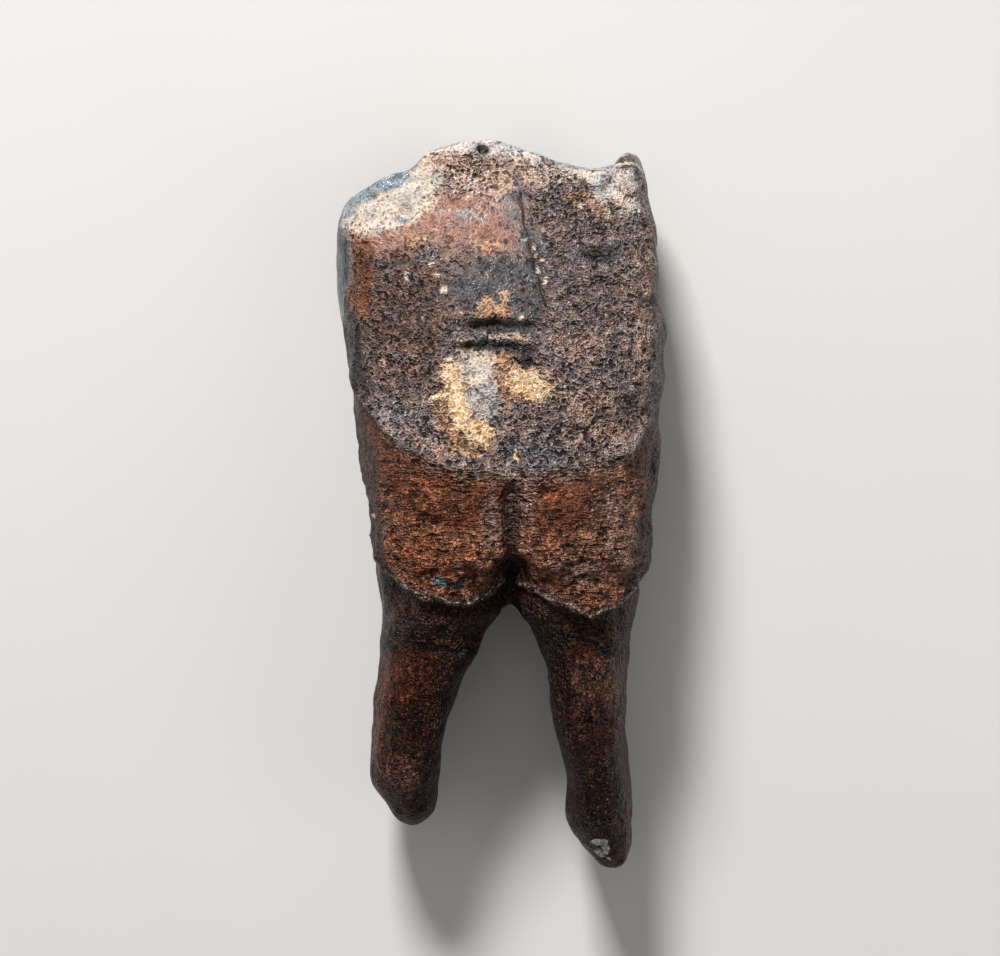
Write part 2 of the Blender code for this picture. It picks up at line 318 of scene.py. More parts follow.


# Finishes in the order in which they cover each other, from the bare root up; a few are painted shade,
# highlight or glint, as their comments say
STAINS = (
    Stain("root_dentine", "#0A0301", "#4C2416", 0.55),
    Stain("root_ember", "#150702", "#66301B", 0.5, 0.7, 0.45, patches=ovals(
        (-13, -22, 3.6, 3, 1, 20), (-15.5, -29, 1.6, 6, 0.9), (4, -21, 1.6, 2.4, 0.8),
    )),
    Stain("root_frost", "#100704", "#69473B", 0.5, 0.8, 0.45, patches=ovals(
        (12, -21.5, 4.6, 3), (-12, -34, 3.8, 2.4, 0.9), (15.5, -30, 1.4, 8, 0.7), (10.5, -33.5, 3, 5, 0.45),
    )),
    Stain("root_dusk", "#050201", "#331B12", 0.5, 0.6, 0.45, patches=ovals(
        (11.5, -34, 4.5, 7, 0.9), (-10, -27.5, 2.6, 3, 0.8), (-12, -41, 4, 2.4, 0.7),
    )),
    # Painted shade: dark brown on the roots' inner sides, which face each other across the fork
    Stain("painted_root_shade", "#070201", "#381A10", 0.5, 0.5, 0.35),
    Stain("collar", "#080301", "#46281C", 0.5, 0.6, 0.35),
    Stain("enamel_pad", "#34180D", "#A87257", 0.45, 0.3, 0.2),
    Stain("smooth_pad", "#1B0A04", "#6E412B", 0.45, 0.5, 0.4),
    Stain("orange_pad", "#3A180A", "#B57152", 0.45, 0.7, 0.3, patches=ovals(
        (-9.6, 1.4, 4, 2.4, 0.4, 10), (-9, -7.4, 5, 2.6, 0.9), (6.6, 1, 2.6, 2, 0.4),
        (13, -11, 3, 1.6, 0.7, -10),
    )),
    Stain("pad_bloom", "#261611", "#A88C7E", 0.5, 0.8, 0.45, patches=ovals(
        (-1.2, -3, 1.2, 4, 0.6), (3.4, 0, 1.2, 5, 0.6), (14, -3, 3.2, 5.6, 0.6), (9, -8, 3.6, 2, 0.45, -20),
    )),
    # Painted shade: dark brown on the enamel pads' end faces, which turn away from the cheek side
    Stain("painted_end_shade", "#120704", "#553325", 0.6, 0.5, 0.4),
    Stain("trough", "#0B0604", "#594136", 0.5, 0.6, 0.4),
    Stain(
        "groove_line", "#130A07", "#463229", 0.5, 0.9, 0.45,
        seam=Seam("beside_groove", 0.0, 0.14), rise=-0.1,
    ),
    Stain("cement", "#2E2424", "#A99792", 0.5, 0.4, 0.15),
    # Dark cement in patches; _stain_coat also lays it on the coat's end faces as painted shade
    Stain("dark_cement_and_edge_shade", "#262328", "#A79D9F", 0.5, 0.7, 0.3, patches=ovals(
        (-12.6, 30.3, 6, 2, 0.9, 3), (-18.6, 20.5, 1.8, 5, 0.8), (0.5, 21.2, 6.5, 1.6),
        (0.5, 18.6, 5.5, 1.2, 0.9), (15.8, 12.8, 3, 4, 0.75), (11.5, 30.5, 5, 2.4, 0.7),
        (4.5, 6, 4.5, 3, 0.7), (-12, 11, 4, 3.5, 0.6), (9.9, 40.6, 2.4, 1.2, 0.9, -10),
        (-5.6, 42, 1.6, 1.6, 0.8),
    )),
    Stain("umber_cement", "#221815", "#8A7168", 0.5, 0.7, 0.4, patches=ovals(
        (-12, 22.5, 5, 5, 0.8), (-13, 17, 4, 3, 0.8), (-10.5, 27.6, 4.5, 2.2, 0.7),
    )),
    Stain("brown_cement", "#402D27", "#CBAC9F", 0.5, 0.7, 0.3, patches=ovals(
        (-13, 17.5, 4, 2.6, 0.5), (8.9, 19.4, 2.8, 1.6, 1, -10), (11.5, 10.6, 3.8, 3.2),
        (-9, 6.5, 4, 1.8, 0.8), (-6.8, 41.9, 2.4, 2), (11.5, 38.4, 3, 1.2, 0.9, -15), (17.5, 24, 2, 8, 0.8),
        (17, 6, 2, 6, 0.7),
    )),
    # Manganese in the dents, and painted shade along the outline's edges and, from _stain_coat, on the front
    # end
    Stain("manganese_and_edge_shade", "#121110", "#605D5D", 0.5, 0.7, 0.35, patches=ovals(
        (-0.2, 22, 3.4, 0.8, 1, -3), (-2.8, 19.3, 2.2, 0.45), (2.4, 19.1, 1.9, 0.5, 1.1, -4),
        (2.9, 17.6, 1.2, 0.7), (-19, 21.5, 1.2, 4.5, 1.2), (-13.2, 30.3, 2.6, 0.9, 0.9, -6),
        (12.4, 30.6, 2.6, 1, 0.7), (-2.1, 43.9, 0.7, 0.6, 1.1), (10.2, 40.6, 1.6, 0.7, 0.9, -14),
        (16, 12.4, 2, 3, 0.5),
    )),
    Stain("polished_cement", "#2E2A2B", "#6A6669", 0.42, 0.3, 0.3, smooth=0.7, patches=ovals(
        (1.8, 29.5, 2.8, 6, 1.3, 10), (-1.5, 26.5, 4, 2.6, 0.9), (2.4, 22.6, 1.6, 1.6, 0.9),
    )),
    Stain("mauve_cement", "#584C4B", "#A0938F", 0.42, 0.3, 0.4, smooth=0.7, patches=ovals(
        (1, 36.5, 1.9, 4, 1.2, 8), (2.6, 40, 2.4, 2.2, 0.8),
    )),
    Stain("specked_brown", "#42302A", "#D2B7A6", 0.5, 0.8, patches=ovals(
        (-3, 39.6, 3.8, 2.2, 1.05), (3.4, 41.2, 3.2, 1.4, 0.8, -20), (7.4, 41, 2.6, 0.9, 0.9, -14),
        (0.6, 20.6, 2.8, 0.45), (-4.8, 19.9, 0.6, 0.4, 1.1),
    )),
    Stain("pink_brown", "#7A5547", "#B18E83", 0.5, 0.5, 0.32, smooth=0.6, patches=ovals(
        (-14.2, 33, 4.2, 2.2, 1.25, 4), (-6.6, 35.2, 4.4, 3, 1.15, -14), (-1.8, 33.6, 3, 2, 1, -10),
    )),
    Stain("rust", "#3A1B10", "#96684E", 0.5, 0.6, 0.3, patches=ovals(
        (-17.5, 29.6, 1.3, 5.2, 1.3), (-17.9, 34.6, 0.9, 1.6),
    )),
    Stain("orange_fringe", "#66452F", "#D9B293", 0.5, 0.8, patches=ovals(
        (-0.9, 23.6, 1.9, 0.8), (0.6, 25.2, 0.5, 0.9), (-1.6, 24.8, 0.5, 0.6, 0.9),
        (0.5, 15.6, 1.1, 2.6, 1.15), (2.4, 20.3, 0.8, 0.3, 0.9), (-4.6, 7, 1.4, 0.8, 0.9, -20),
        (-6.8, 13.4, 1.5, 3.4, 0.8), (-4.2, 8.2, 2.4, 1.8, 0.8, -20), (4, 14.6, 2.8, 1.9, 0.8, -10),
        (-10.4, 35.9, 2.2, 0.8, 1, 28), (-2.2, 31.7, 2.4, 0.8, 0.5, -6), (-10.6, 32.3, 1.6, 0.6, 0.8, 20),
        (12.6, 36.4, 1, 1.2, 0.8), (9.6, 37.6, 1.8, 0.7, 0.8, -12),
    )),
    Stain("grey_bloom", "#7F7974", "#CFC9C4", 0.6, 0.7, 0.35, smooth=0.5, patches=ovals(
        (-2.4, 12.4, 1.7, 2.2, 1.1, -6),
    )),
    Stain("ochre", "#D0965A", "#FFEBC8", 0.6, 0.7, 0.34, smooth=0.5, patches=ovals(
        (-5.9, 15.4, 1.1, 1.4, 1.1), (-5.4, 12.8, 0.8, 1.7, 1.1, -8), (-4.4, 10.9, 0.6, 1.2, 1, -30),
        (-8, 13, 1.6, 0.3, 0.9, 4), (-2.8, 8.6, 1.6, 1.2, 1.15, -20), (3.4, 14.7, 2.1, 1.3, 1.25, -14),
        (4.6, 13.6, 1, 0.6, 1.2, -10), (2.1, 5.7, 0.25, 0.6, 0.9),
    )),
    Stain("white_bloom", "#A79B8B", "#E8DDCD", 0.65, 0.6, 0.35, smooth=0.6, patches=ovals(
        (-2.8, 16.5, 1.9, 1.9, 1.15),
    )),
    Stain("grey_cap", "#90857F", "#E2DCD8", 0.45, 0.8, 0.34, smooth=0.75, patches=ovals(
        (-4.4, 44.6, 4.2, 1.2, 1.2, 4), (0.4, 44.2, 1.6, 1, 0.9, -20), (10.8, 40.4, 2.4, 0.7, 1, -12),
        (14.2, 40.3, 1.9, 1.3, 1.15, -14), (12.8, 38.6, 1.2, 1.2), (15.8, 36.8, 1.2, 1, 0.85),
        (3.6, 42.9, 1.8, 0.6, 0.9, -20),
    )),
    Stain("cap_pit", "#14110F", "#5A4E48", 0.6, 0.4, 0.3, patches=ovals((-2.1, 43.9, 0.7, 0.6, 1.2))),
    Stain("chalk", "#B5A594", "#E4DACE", 0.7, 0.7, 0.3, smooth=0.6, patches=ovals(
        (-14.4, 37, 4.4, 2.4, 1.3, 22), (-10.9, 40.2, 2.4, 2.4, 1.2, 30), (-18.3, 37.4, 1.2, 1.6),
    )),
    Stain("blue_enamel", "#59646F", "#9FA9B2", 0.25, 0.5, 0.4, smooth=1.0),
    Stain("brow_band", "#2C211C", "#8A7A6E", 0.3, 0.4, 0.3, smooth=1.0),
    Stain("facet", "#11161B", "#5E676D", 0.3, 0.4, 0.25, smooth=1.0),
    Stain("facet_rim", "#453F3C", "#8F8680", 0.35, 0.8, 0.35, seam=Seam("round_facet", 0.1, 0.2), rise=0.1),
    Stain("brow_rim", "#A39A95", "#F0ECE8", 0.3, 0.4, 0.3, seam=Seam("below_brow", 0.1, 0.16)),
    Stain("inner_rim", "#9A908A", "#E9E3DE", 0.35, 0.7, 0.3, seam=Seam("above_line", 0.0, 0.2)),
    Stain("lip_cord", "#241915", "#7B675E", 0.45, 0.4, 0.35, seam=Seam("from_enamel", 0.45, 0.5), rise=0.25),
    # Painted highlight: a thin pale line along the crest of the enamel's lip
    Stain("painted_lip_highlight", "#4A372E", "#B09A8C", 0.4, 1.0, 0.4, seam=Seam("from_enamel", 0.4, 0.11), rise=0.1),
    Stain(
        "collar_edge", "#050302", "#20140E", 0.5, 0.6, 0.35,
        seam=Seam("from_collar", 0.0, 0.35), rise=-0.3,
    ),
    Stain(
        "cement_lip", "#4A3D39", "#AE9E98", 0.45, 0.6, 0.4,
        seam=Seam("from_cement", 0.15, 0.3), rise=0.15,
    ),
    Stain("scarp", "#1E130F", "#4E3A33", 0.5, 0.8, 0.4, seam=Seam("beside_scarp", 0.0, 0.17), rise=-0.25),
    # Painted shade: near-black on the coat's sides where they turn away, at the front and, fainter, at the
    # back
    Stain("painted_side_shade", "#0C0A09", "#453D3A", 0.5, 0.7, 0.4),
    Stain("worn_enamel", "#77797B", "#B3B6B7", 0.28, 0.3, 0.35, smooth=1.0),
    Stain("worn_dentine", "#3E2B20", "#6B5040", 0.4, 0.3, 0.3, smooth=1.0),
    Stain("valley", "#1C130F", "#4B382F", 0.6, 0.5, 0.25),
    Stain("bright_grain", "#CDBBA6", "#FFF6E8", 0.5, 0.6, 0.35, patches=ovals(
        (4.3, 31.6, 0.2, 0.3, 1, -20), (4.7, 28.2, 0.25, 0.25, 1.1), (5.4, 27.2, 0.3, 0.3, 1.2),
        (4.5, 30.2, 0.2, 0.25), (5.4, 29.6, 0.2, 0.2, 0.9), (10, 36.6, 0.3, 0.3, 1.1),
        (-11.5, 27.8, 0.3, 0.6, 1.1, 10), (-8.6, 29.3, 0.3, 0.3), (-7.9, 27.8, 0.35, 0.2),
        (-7, 26.3, 0.3, 0.3, 0.9), (-15.9, -1.7, 0.3, 0.4, 1.2), (13.2, 36.1, 0.4, 0.5, 1.1),
        (17, 36.4, 0.3, 0.3), (14.4, 38, 0.6, 0.5, 1.1), (2.4, 23, 0.3, 0.3, 0.8),
        (-6.2, 17.5, 0.4, 0.2, 0.9), (-9.6, 22.7, 0.3, 0.2, 0.8), (15.6, 14.2, 0.4, 0.2, 0.8),
    )),
    # Pale mineral specks at the back root's tip, made near white as a painted glint as well as their own
    # colour
    Stain("tip_mineral_glint", "#BDB1A8", "#FFFFFF", 0.5, 1.15, 0.12, patches=ovals(
        (12, -42.1, 0.7, 0.35, 1.1, 20), (12.9, -42.7, 0.35, 0.6, 1.1), (12.3, -43.5, 0.5, 0.25, 1, -30),
        (13.4, -43.9, 0.2, 0.3),
    )),
    Stain("inclusion", "#2F3438", "#7C848A", 0.3, 0.3, 0.2, patches=ovals(
        (-7.4, -9.3, 0.9, 0.5, 1.3, -12), (-5.2, -9.9, 0.5, 0.35),
    )),
    # Painted shadow: near-black in the pit where the pads' groove meets the fork, and under the fork's roof
    Stain("painted_pit_shadow", "#060303", "#170C08", 0.7, 0.3, 0.3),
)

# Forms sunk into the cheek side: the two deep dents, the cap's pit and smaller chips, then creases
DENTS = ovals(
    (0.6, 21.9, 3.6, 0.55, 1, -4), (-2.6, 21.8, 2, 0.4, 1, 6), (-2.8, 19.2, 2.2, 0.4, 1, 2),
    (2.4, 19, 1.8, 0.45, 1, -4), (2.8, 17.6, 1, 0.4), (-2.1, 43.9, 0.6, 0.6), (5.7, 1.4, 0.9, 0.55, 1, 10),
    (-13.2, 30.2, 0.9, 0.35, 1, -8), (-10.3, 31, 0.8, 0.3, 1, 10), (-16, 38, 0.5, 0.5),
    (-11.5, 36.5, 0.6, 0.4), (13.4, 39.4, 0.5, 0.5), (-8.4, 19.8, 2.6, 0.35, 0.5, -8),
    (-11, 23.4, 2.4, 0.3, 0.3, 6), (-12.6, 17.4, 2.4, 0.3, 0.35, -4), (-13.6, 13.4, 2.2, 0.3, 0.4, -30),
    (-11.2, 15.4, 2, 0.25, 0.3, 5), (4.2, 37.3, 2.2, 0.22, 0.5, -25), (4.8, 35.6, 1.6, 0.2, 0.45, -20),
    (7.4, 35, 3, 0.22, 0.5, -8), (12.2, 35.2, 1.8, 0.2, 0.4, 12), (11, 26.9, 2, 0.22, 0.4, -15),
    (8, 31.6, 2.4, 0.2, 0.35, 6), (14, 31, 2, 0.2, 0.35, -6), (9, 24.2, 2.2, 0.2, 0.3, -10),
)


@dataclass(frozen=True)
class FossilFinish:
    """Enamel, cement and dentine that lay in the ground and took up its minerals.

    Weathered and unpolished, it shows dull grains with a satin glint on their crests, and each
    stain is darker between the grains than on them: dust in the pores, with painted shade in the
    hollows and a painted highlight on the crests.

    Attributes:
        grain: Size of the crust's grains, in millimetres, as are the sizes below.
        fibre: Size of the root's grains, which are drawn out lengthwise.
        pit: Spacing of the enamel's pits.
        fleck: Size of the pale flecks: mineral specks, and painted glints on the crests.
        pock: Size of the brown pocks in the pale stains.
        mottle: Size of the clouds in which minerals tint the whole tooth.
        relief: How far the finest relief stands out.
        specular: How strongly the surface mirrors light.
        satin: How much less rough a crest is than a pore.
        swing: How far a fully ragged border moves with the relief, as a share of its strength.
    """

    grain: float = 0.6
    fibre: float = 0.5
    pit: float = 0.9
    fleck: float = 0.34
    pock: float = 0.6
    mottle: float = 2.4
    relief: float = 1.4
    specular: float = 0.25
    satin: float = 0.22
    swing: float = 1.4

    def make(self, name: str, stains: Sequence[Stain]) -> bpy.types.Material:
        """Makes the material.

        Args:
            name: Its name.
            stains: The finishes it layers, each over those before it.

        Returns:
            The material, which reads the shares that the mesh holds.
        """
        material = bpy.data.materials.new(name)
        material.use_nodes = True
        tree = material.node_tree
        place = add_node(tree, "TexCoord", output="Object")
        height = self._height(tree, place)
        hollow, crest, roughness, raised = self._layers(tree, place, height, stains)
        # Painted shade and highlight: the colour runs from a darker hollow colour to a paler crest colour
        # with the relief's height, as pore dust does and as the relief's own shading would
        on_crest = add_node(tree, "MapRange", {"Value": height, "From Min": 0.12, "From Max": 0.85}, **SMOOTH)
        colour = add_node(tree, "Mix", {0: on_crest, 6: hollow, 7: crest}, 2, data_type="RGBA")
        colour = self._mottled(tree, place, self._pocked(tree, place, colour))
        colour = self._flecked(tree, place, colour, crest, height)
        bite = add_node(tree, "Attribute", output="Fac", attribute_name="bite")
        normal = add_node(tree, "Bump", {"Distance": self.relief * MM, "Height": raised, "Strength": bite})
        shader = tree.nodes["Principled BSDF"]
        tree.links.new(colour, shader.inputs["Base Color"])
        # Pores hold dust, while crests were rubbed to a satin glint
        dull = add_node(tree, "Math", {0: on_crest, 1: -self.satin, 2: roughness}, operation="MULTIPLY_ADD")
        tree.links.new(dull, shader.inputs["Roughness"])
        tree.links.new(normal, shader.inputs["Normal"])
        shader.inputs["Specular IOR Level"].default_value = self.specular
        return material

    def _height(self, tree: bpy.types.NodeTree, place: Socket) -> Socket:
        """Works out the fine relief: grains, turned to rings, fibres or pits where the mesh says.

        Args:
            tree: The material's nodes.
            place: The place on the tooth.

        Returns:
            Its height, 0 to 1.
        """
        height = self._crust(tree, place, Growth.EVEN, self.grain)
        for share, growth, size, most in (
            ("ringed", Growth.RINGS, self.grain, 0.8), ("fibrous", Growth.FIBRES, self.fibre, 0.6)
        ):
            other = self._crust(tree, place, growth, size)
            there = add_node(tree, "Attribute", output="Fac", attribute_name=share)
            weight = add_node(tree, "Math", {0: there, 1: most}, operation="MULTIPLY")
            height = add_node(tree, "Mix", {0: weight, 2: height, 3: other}, data_type="FLOAT")
        pits = add_node(tree, "TexVoronoi", {"Vector": place, "Scale": 1 / (self.pit * MM)}, "Distance")
        there = add_node(tree, "Attribute", output="Fac", attribute_name="pitted")
        pits = add_node(tree, "Math", {0: pits, 1: 0.3, 2: -0.16}, operation="MULTIPLY_ADD")
        height = add_node(tree, "Math", {0: there, 1: pits, 2: height}, operation="MULTIPLY_ADD")
        # lie: the carved relief's crests and hollows, which also shift the colour, painted shade in the
        # carving's dents and hollows and painted highlight on its crests
        lie = add_node(tree, "Attribute", output="Fac", attribute_name="lie")
        return add_node(tree, "Math", {0: lie, 1: 0.1, 2: height}, operation="MULTIPLY_ADD")

    def _crust(self, tree: bpy.types.NodeTree, place: Socket, growth: Growth, size: float) -> Socket:
        """Relief of a weathered crust, 0 to 1.

        Args:
            tree: The material's nodes.
            place: The place on the tooth.
            growth: Which way the crust's crests run.
            size: Size of its grains, in millimetres.

        Returns:
            Its height: short winding crests over uneven ground.
        """
        drawn = add_node(tree, "Mapping", {"Vector": place, "Scale": [1 / part for part in growth.value]})
        ground = add_node(
            tree, "TexNoise", {"Vector": drawn, "Scale": 0.5 / (size * MM), "Detail": 2.5, "Roughness": 0.75}
        )
        winding = add_node(
            tree, "TexNoise",
            {"Vector": drawn, "Scale": 1 / (size * MM), "Detail": 1.0, "Roughness": 0.5, "Distortion": 0.3},
        )
        away = add_node(tree, "Math", {0: winding, 1: 0.5}, operation="SUBTRACT")
        away = add_node(tree, "Math", {0: away}, operation="ABSOLUTE")
        near = {"Value": away, "From Min": 0.15, "From Max": 0.0, "To Max": 0.5}
        crest = add_node(tree, "MapRange", near, **SMOOTH)
        level = {"Value": ground, "From Min": 0.32, "From Max": 0.68, "To Max": 0.5}
        return add_node(tree, "Math", {0: crest, 1: add_node(tree, "MapRange", level)}, operation="ADD")

    def _clouds(
        self, tree: bpy.types.NodeTree, place: Socket, size: float, levels: tuple[float, float],
        detail: float, roughness: float, most: float = 1.0,
    ) -> Socket:
        """Uneven clouds, 0 outside them.

        Args:
            tree: The material's nodes.
            place: The place on the tooth.
            size: Size of the broadest clouds, in millimetres.
            levels: Where in the noise they begin, and where they are full.
            detail: How many times the clouds are halved and added.
            roughness: How much each halving keeps.
            most: What they reach.

        Returns:
            How far a point lies in a cloud.
        """
        pattern = {"Vector": place, "Scale": 1 / (size * MM), "Detail": detail, "Roughness": roughness}
        pattern = add_node(tree, "TexNoise", pattern)
        cloud = {"Value": pattern, "From Min": levels[0], "From Max": levels[1], "To Max": most}
        return add_node(tree, "MapRange", cloud, **SMOOTH)

    def _layers(
        self, tree: bpy.types.NodeTree, place: Socket, height: Socket, stains: Sequence[Stain]
    ) -> tuple[Socket, Socket, Socket, Socket]:
        """Lays the stains over each other.

        Args:
            tree: The material's nodes.
            place: The place on the tooth.
            height: Height of the fine relief, whose crests take a stain first.
            stains: The finishes from the first to the last.

        Returns:
            The colour between grains, the colour on them, the roughness, and the height with the stains' own.
        """
        border = height
        # Mean of the border's height: half the relief's, and half of each noise's weight
        middle = 0.95
        for size, weight in ((0.9, 0.5), (3.4, 0.4)):
            uneven = self._clouds(tree, place, size, (0.3, 0.7), 3.0, 0.7, weight)
            border = add_node(tree, "Math", {0: border, 1: uneven}, operation="ADD")
        first = stains[0]
        hollow: Socket | tuple = linear(first.hollow)
        crest: Socket | tuple = linear(first.crest)
        roughness: Socket | float = first.roughness
        for stain in stains[1:]:
            share = add_node(tree, "Attribute", output="Fac", attribute_name=stain.name)
            if stain.seam:
                along = add_node(tree, "Attribute", output="Fac", attribute_name=stain.seam.along)
                away = add_node(tree, "Math", {0: along, 1: stain.seam.at}, operation="SUBTRACT")
                away = add_node(tree, "Math", {0: away}, operation="ABSOLUTE")
                near = {"Value": away, "From Max": 2 * stain.seam.wide, "To Min": 1.0, "To Max": 0.0}
                near = add_node(tree, "MapRange", near)
                share = add_node(tree, "Math", {0: share, 1: near}, operation="MULTIPLY")
            swing = self.swing * stain.ragged
            swing = {0: border, 1: swing, 2: 1 - swing * middle}
            swing = add_node(tree, "Math", swing, operation="MULTIPLY_ADD")
            there = add_node(tree, "Math", {0: share, 1: swing}, operation="MULTIPLY")
            cover = {"Value": there, "From Min": 0.5 - stain.soft, "From Max": 0.5 + stain.soft}
            cover = add_node(tree, "MapRange", cover, **SMOOTH)
            hollow, crest = (
                add_node(tree, "Mix", {0: cover, 6: below, 7: linear(above)}, 2, data_type="RGBA")
                for below, above in ((hollow, stain.hollow), (crest, stain.crest))
            )
            roughness = add_node(tree, "Mix", {0: cover, 2: roughness, 3: stain.roughness}, data_type="FLOAT")
            if stain.rise:
                raised = {0: cover, 1: stain.rise, 2: height}
                height = add_node(tree, "Math", raised, operation="MULTIPLY_ADD")
        return hollow, crest, roughness, height

    def _mottled(self, tree: bpy.types.NodeTree, place: Socket, colour: Socket) -> Socket:
        """Tints a colour in clouds, iron brown here and manganese grey there.

        Args:
            tree: The material's nodes.
            place: The place on the tooth.
            colour: The colour to tint.

        Returns:
            The tinted colour.
        """
        warm = self._clouds(tree, place, self.mottle, (0.4, 0.62), 4.0, 0.75)
        grey, brown = (0.91, 0.95, 1.0, 1.0), (1.15, 0.98, 0.86, 1.0)
        tint = add_node(tree, "Mix", {0: warm, 6: grey, 7: brown}, 2, data_type="RGBA")
        return add_node(tree, "VectorMath", {0: colour, 1: tint}, operation="MULTIPLY")

    def _pocked(self, tree: bpy.types.NodeTree, place: Socket, colour: Socket) -> Socket:
        """Sets brown pocks into the pale stains, where the mesh says.

        Args:
            tree: The material's nodes.
            place: The place on the tooth.
            colour: The colour to set them in.

        Returns:
            The colour with its pocks.
        """
        spots = self._clouds(tree, place, self.pock, (0.56, 0.66), 2.0, 0.6)
        where = add_node(tree, "Attribute", output="Fac", attribute_name="pocked")
        cover = add_node(tree, "Math", {0: spots, 1: where}, operation="MULTIPLY")
        return add_node(tree, "Mix", {0: cover, 6: colour, 7: linear("#6B4A38")}, 2, data_type="RGBA")

    def _flecked(
        self, tree: bpy.types.NodeTree, place: Socket, colour: Socket, crest: Socket, height: Socket
    ) -> Socket:
        """Sets pale flecks on the crests of a colour, as thickly as the mesh says: mineral specks, and
        painted glints where the crests would catch the light.

        Args:
            tree: The material's nodes.
            place: The place on the tooth.
            colour: The colour to fleck.
            crest: Colour on the crests, of which the flecks are a paler kind.
            height: Height of the fine relief.

        Returns:
            The flecked colour.
        """
        pattern = {"Vector": place, "Scale": 1 / (self.fleck * MM), "Detail": 2.0, "Roughness": 0.6}
        speck = add_node(tree, "TexNoise", pattern)
        thick = add_node(tree, "Attribute", output="Fac", attribute_name="flecked")
        rich = add_node(tree, "Math", {0: thick, 1: 0.16, 2: speck}, operation="MULTIPLY_ADD")
        rich = add_node(tree, "Math", {0: height, 1: 0.22, 2: rich}, operation="MULTIPLY_ADD")
        cover = add_node(tree, "MapRange", {"Value": rich, "From Min": 0.78, "From Max": 0.86}, **SMOOTH)
        # The flecks are the crest colour made paler: painted glints as well as mineral specks
        fleck = add_node(tree, "VectorMath", {0: crest, "Scale": 2.0}, operation="SCALE")
        fleck = add_node(tree, "VectorMath", {0: fleck, 1: linear("#EDE7E2")[:3]}, operation="MINIMUM")
        return add_node(tree, "Mix", {0: cover, 6: colour, 7: fleck}, 2, data_type="RGBA")


@dataclass(frozen=True)
class Ground:
    """What the shares are worked out from, a number for each point of the skin.

    Attributes:
        surface: The skin, whose grain and places it also reads.
        from_enamel: Height above the enamel's edge, in millimetres, as are the distances below.
        from_cement: Height above the cement coat's edge.
        from_wall: Distance of the worn top from the nearest upright wall, 0 elsewhere.
        below_brow: Depth below the crown's upper edge, as the cheek side shows it.
    """

    surface: Surface
    from_enamel: Numbers
    from_cement: Numbers
    from_wall: Numbers
    below_brow: Numbers

    @property
    def cheek(self) -> Numbers:
        """Share that faces the cheek."""
        return step(-0.1, 0.45, self.surface.normals[:, 2])

    @property
    def upright(self) -> Numbers:
        """Share that isn't turned to the tongue side."""
        return step(0.0, 0.3, self.surface.normals[:, 2])

    @property
    def ends(self) -> Numbers:
        """Share that faces the teeth in front and behind."""
        return step(0.75, 0.2, abs(self.surface.normals[:, 2]))

    @property
    def crown(self) -> Numbers:
        """Share above the enamel's edge."""
        return step(-0.3, 0.3, self.from_enamel)

    @property
    def coated(self) -> Numbers:
        """Share under the thick cement coat."""
        return step(-0.3, 0.3, self.from_cement)

    @property
    def bare(self) -> Numbers:
        """Share of enamel between the neck and the cement coat, the pads."""
        return self.crown * (1 - self.coated)

    @property
    def top(self) -> Numbers:
        """Share on the worn top."""
        return step(0.3, 0.9, self.from_wall)


